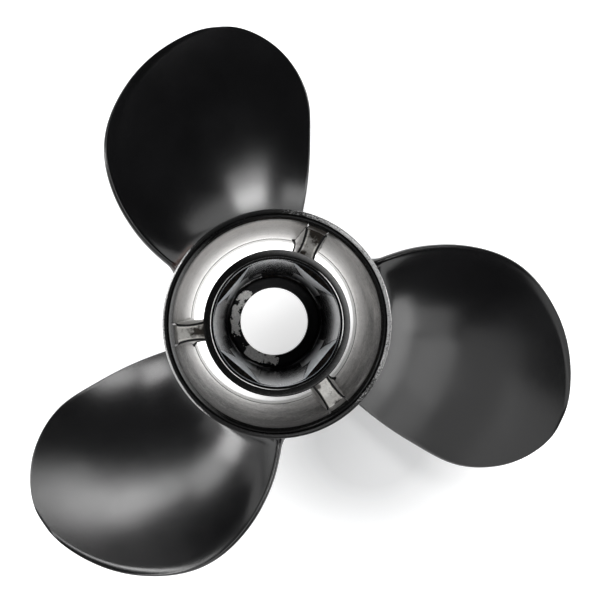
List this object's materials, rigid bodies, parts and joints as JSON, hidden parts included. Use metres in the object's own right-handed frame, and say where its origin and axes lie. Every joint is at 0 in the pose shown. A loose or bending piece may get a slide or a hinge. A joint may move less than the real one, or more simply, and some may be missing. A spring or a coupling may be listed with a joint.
{
  "type": "outboard motor propeller",
  "caption": "Black painted aluminium outboard propeller, right-hand, with swept blades, a flared through-hub exhaust and an open rounded-square drive cavity.",
  "frame": {"origin": "on the shaft axis, in the plane of the hub's front face, which the propeller stands on", "axes": "+Z along the shaft axis towards the aft end, +X and +Y across it, with the first blade's tip 101 degrees round from +X"},
  "size_m": [0.3155, 0.3159, 0.115],
  "materials": {
    "black_paint": "satin black paint",
    "thin_paint": "cast surface with thin overspray",
    "cavity_paint": "thin bluish black paint on a cast surface"
  },
  "bodies": {
    "root": {"hub_barrel": "black_paint", "flare_ring": "black_paint", "mouth_ring": "black_paint", "blade_1": "black_paint", "blade_2": "black_paint", "blade_3": "black_paint", "rib_1": "thin_paint", "rib_2": "thin_paint", "rib_3": "thin_paint", "inner_hub": "cavity_paint", "thrust_floor": "cavity_paint"}
  },
  "joints": []
}
